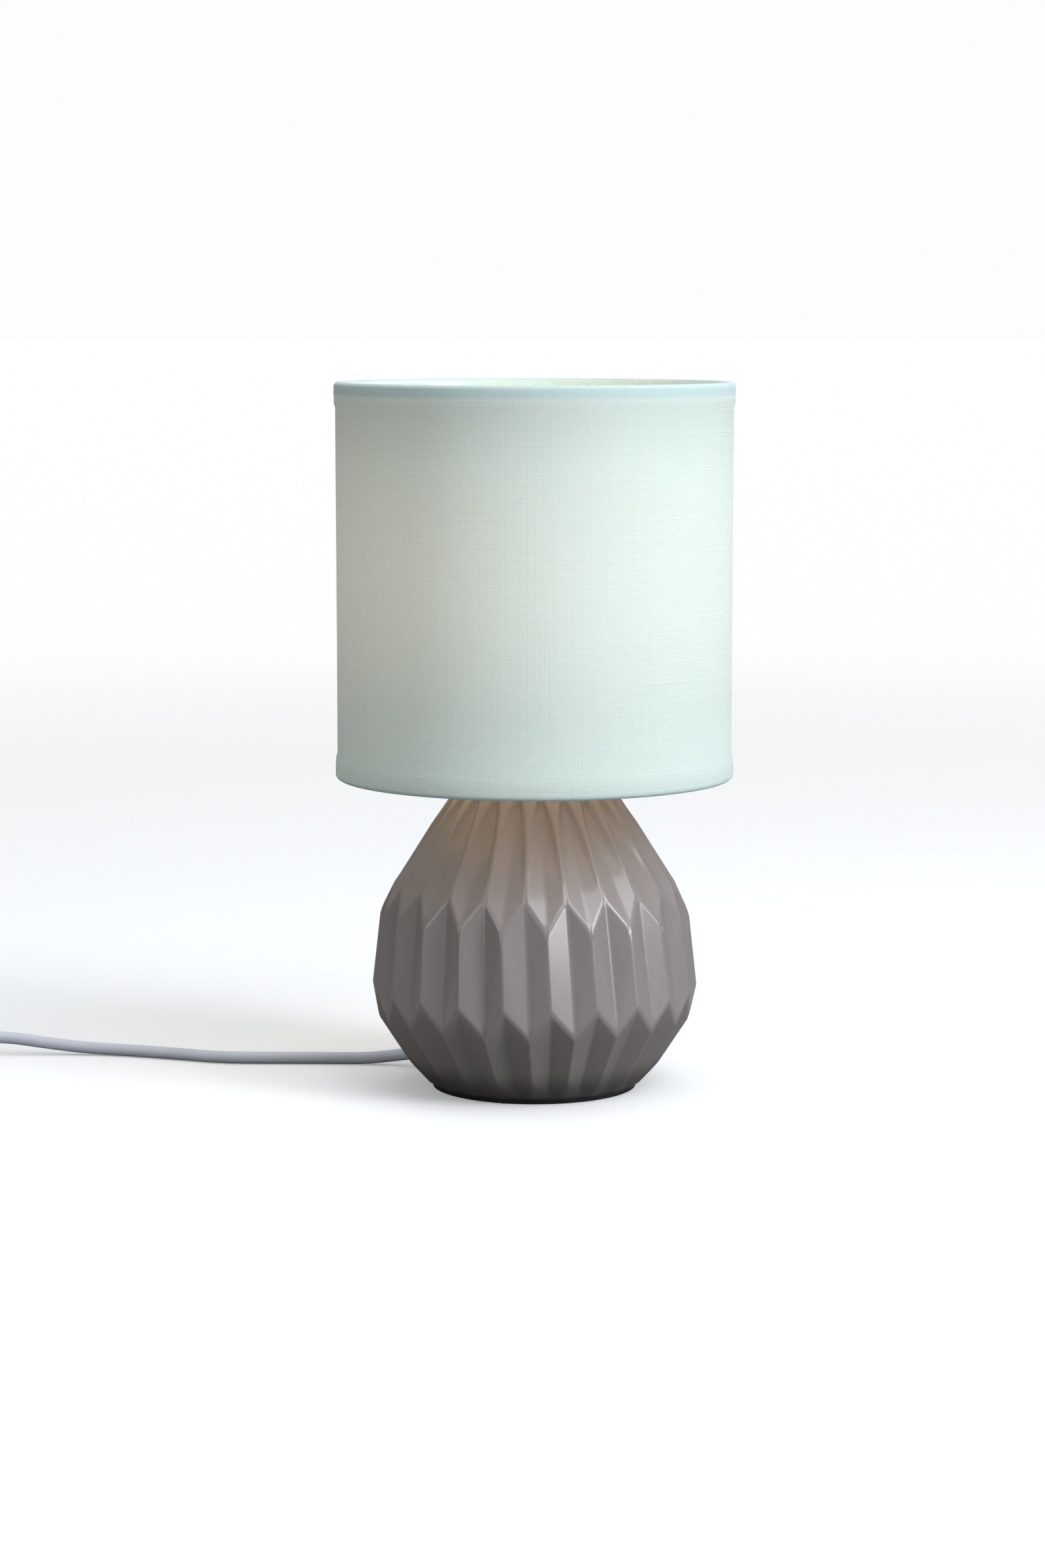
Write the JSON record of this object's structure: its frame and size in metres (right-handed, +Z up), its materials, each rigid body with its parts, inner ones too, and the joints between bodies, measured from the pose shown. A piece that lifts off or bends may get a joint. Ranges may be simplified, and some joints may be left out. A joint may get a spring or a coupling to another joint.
{
  "type": "table lamp with shade",
  "caption": "Small table lamp with a pleated, faceted ceramic base, a linen drum shade, a screw-in bulb, and a mains lead with a rocker switch and a flat plug.",
  "frame": {"origin": "centre of the lamp's foot, on the surface that it stands on", "axes": "+Z up along the lamp's axis, -Y the front, +X to the right seen from the front; the mains lead leaves at the back left"},
  "size_m": [0.4821, 0.1756, 0.2846],
  "materials": {
    "glazed_ceramic": "warm grey satin-gloss glaze",
    "dark_foam": "black EVA foam",
    "cord_fittings": "moulded PVC",
    "white_plastic": "moulded, fine texture",
    "zinc_steel": "bright zinc",
    "cord_sheath": "round white PVC flex",
    "core_insulation": "PVC",
    "core_insulation_neutral": "PVC",
    "satin_steel": "satin nickel",
    "holder_plastic": "white heat-resistant thermoplastic",
    "holder_ceramic": "unglazed steatite",
    "brass": "bright",
    "opal_glass": "white opal",
    "cap_aluminium": "bright rolled",
    "black_glass": "vitrite",
    "solder": "soldered",
    "linen": "pale mint linen weave",
    "shade_lining": "translucent white film",
    "white_wire": "white epoxy",
    "tie_plastic": "soft PVC strap",
    "rocker_plastic": "satin moulded",
    "plug_plastic": "moulded PVC",
    "pin_nickel": "nickel plated"
  },
  "bodies": {
    "root": {"ceramic_base": "glazed_ceramic", "base_pad": "dark_foam", "cord_grommet": "cord_fittings", "cord_anchor": "white_plastic", "anchor_screws": "zinc_steel", "inner_lead": "cord_sheath", "live_core": "core_insulation", "neutral_core": "core_insulation_neutral", "threaded_tube": "zinc_steel", "fixing_washer": "zinc_steel", "fixing_nut": "zinc_steel", "neck_plate": "satin_steel", "holder_cap": "holder_plastic", "holder_lock_screw": "zinc_steel", "holder_skirt": "holder_plastic", "holder_insert": "holder_ceramic", "terminal_screws": "brass", "holder_screw_shell": "brass", "holder_centre_contact": "brass", "lead_to_switch": "cord_sheath", "lead_to_coil": "cord_sheath", "lead_coil": "cord_sheath", "lead_to_plug": "cord_sheath", "coil_tie": "tie_plastic", "switch_lower_shell": "white_plastic", "switch_upper_shell": "white_plastic", "switch_screws": "zinc_steel", "switch_terminals": "brass", "switch_wires": "core_insulation", "switch_cord_bushes": "cord_fittings", "plug_body": "plug_plastic", "plug_pins": "pin_nickel", "plug_pin_sleeves": "white_plastic"},
    "shade": {"shade_fabric": "linen", "shade_liner": "shade_lining", "shade_seam_strip": "shade_lining", "shade_top_ring": "white_wire", "shade_bottom_ring": "white_wire", "shade_spokes": "white_wire", "shade_fitter_ring": "white_wire"},
    "retaining_ring": {"shade_retaining_ring": "holder_plastic"},
    "bulb": {"bulb_globe": "opal_glass", "bulb_screw_cap": "cap_aluminium", "bulb_insulator": "black_glass", "bulb_tip_contact": "solder"},
    "rocker": {"switch_rocker": "rocker_plastic", "switch_rocker_pin": "zinc_steel"}
  },
  "joints": [
    {"name": "shade_turn", "type": "hinge", "parent": "root", "child": "shade", "pos_m": [0, 0, 0.1517], "axis": [0, 0, 1], "continuous": true},
    {"name": "ring_turn", "type": "hinge", "parent": "root", "child": "retaining_ring", "pos_m": [0, 0, 0.1566], "axis": [0, 0, 1], "continuous": true},
    {"name": "bulb_lift_out", "type": "slide", "parent": "root", "child": "bulb", "axis": [0, 0, 1], "range_m": [0, 0.128]},
    {"name": "rocker_press", "type": "hinge", "parent": "root", "child": "rocker", "pos_m": [-0.27, 0.062, 0.0134], "axis": [0, -1, 0], "range_deg": [0, 18]}
  ]
}
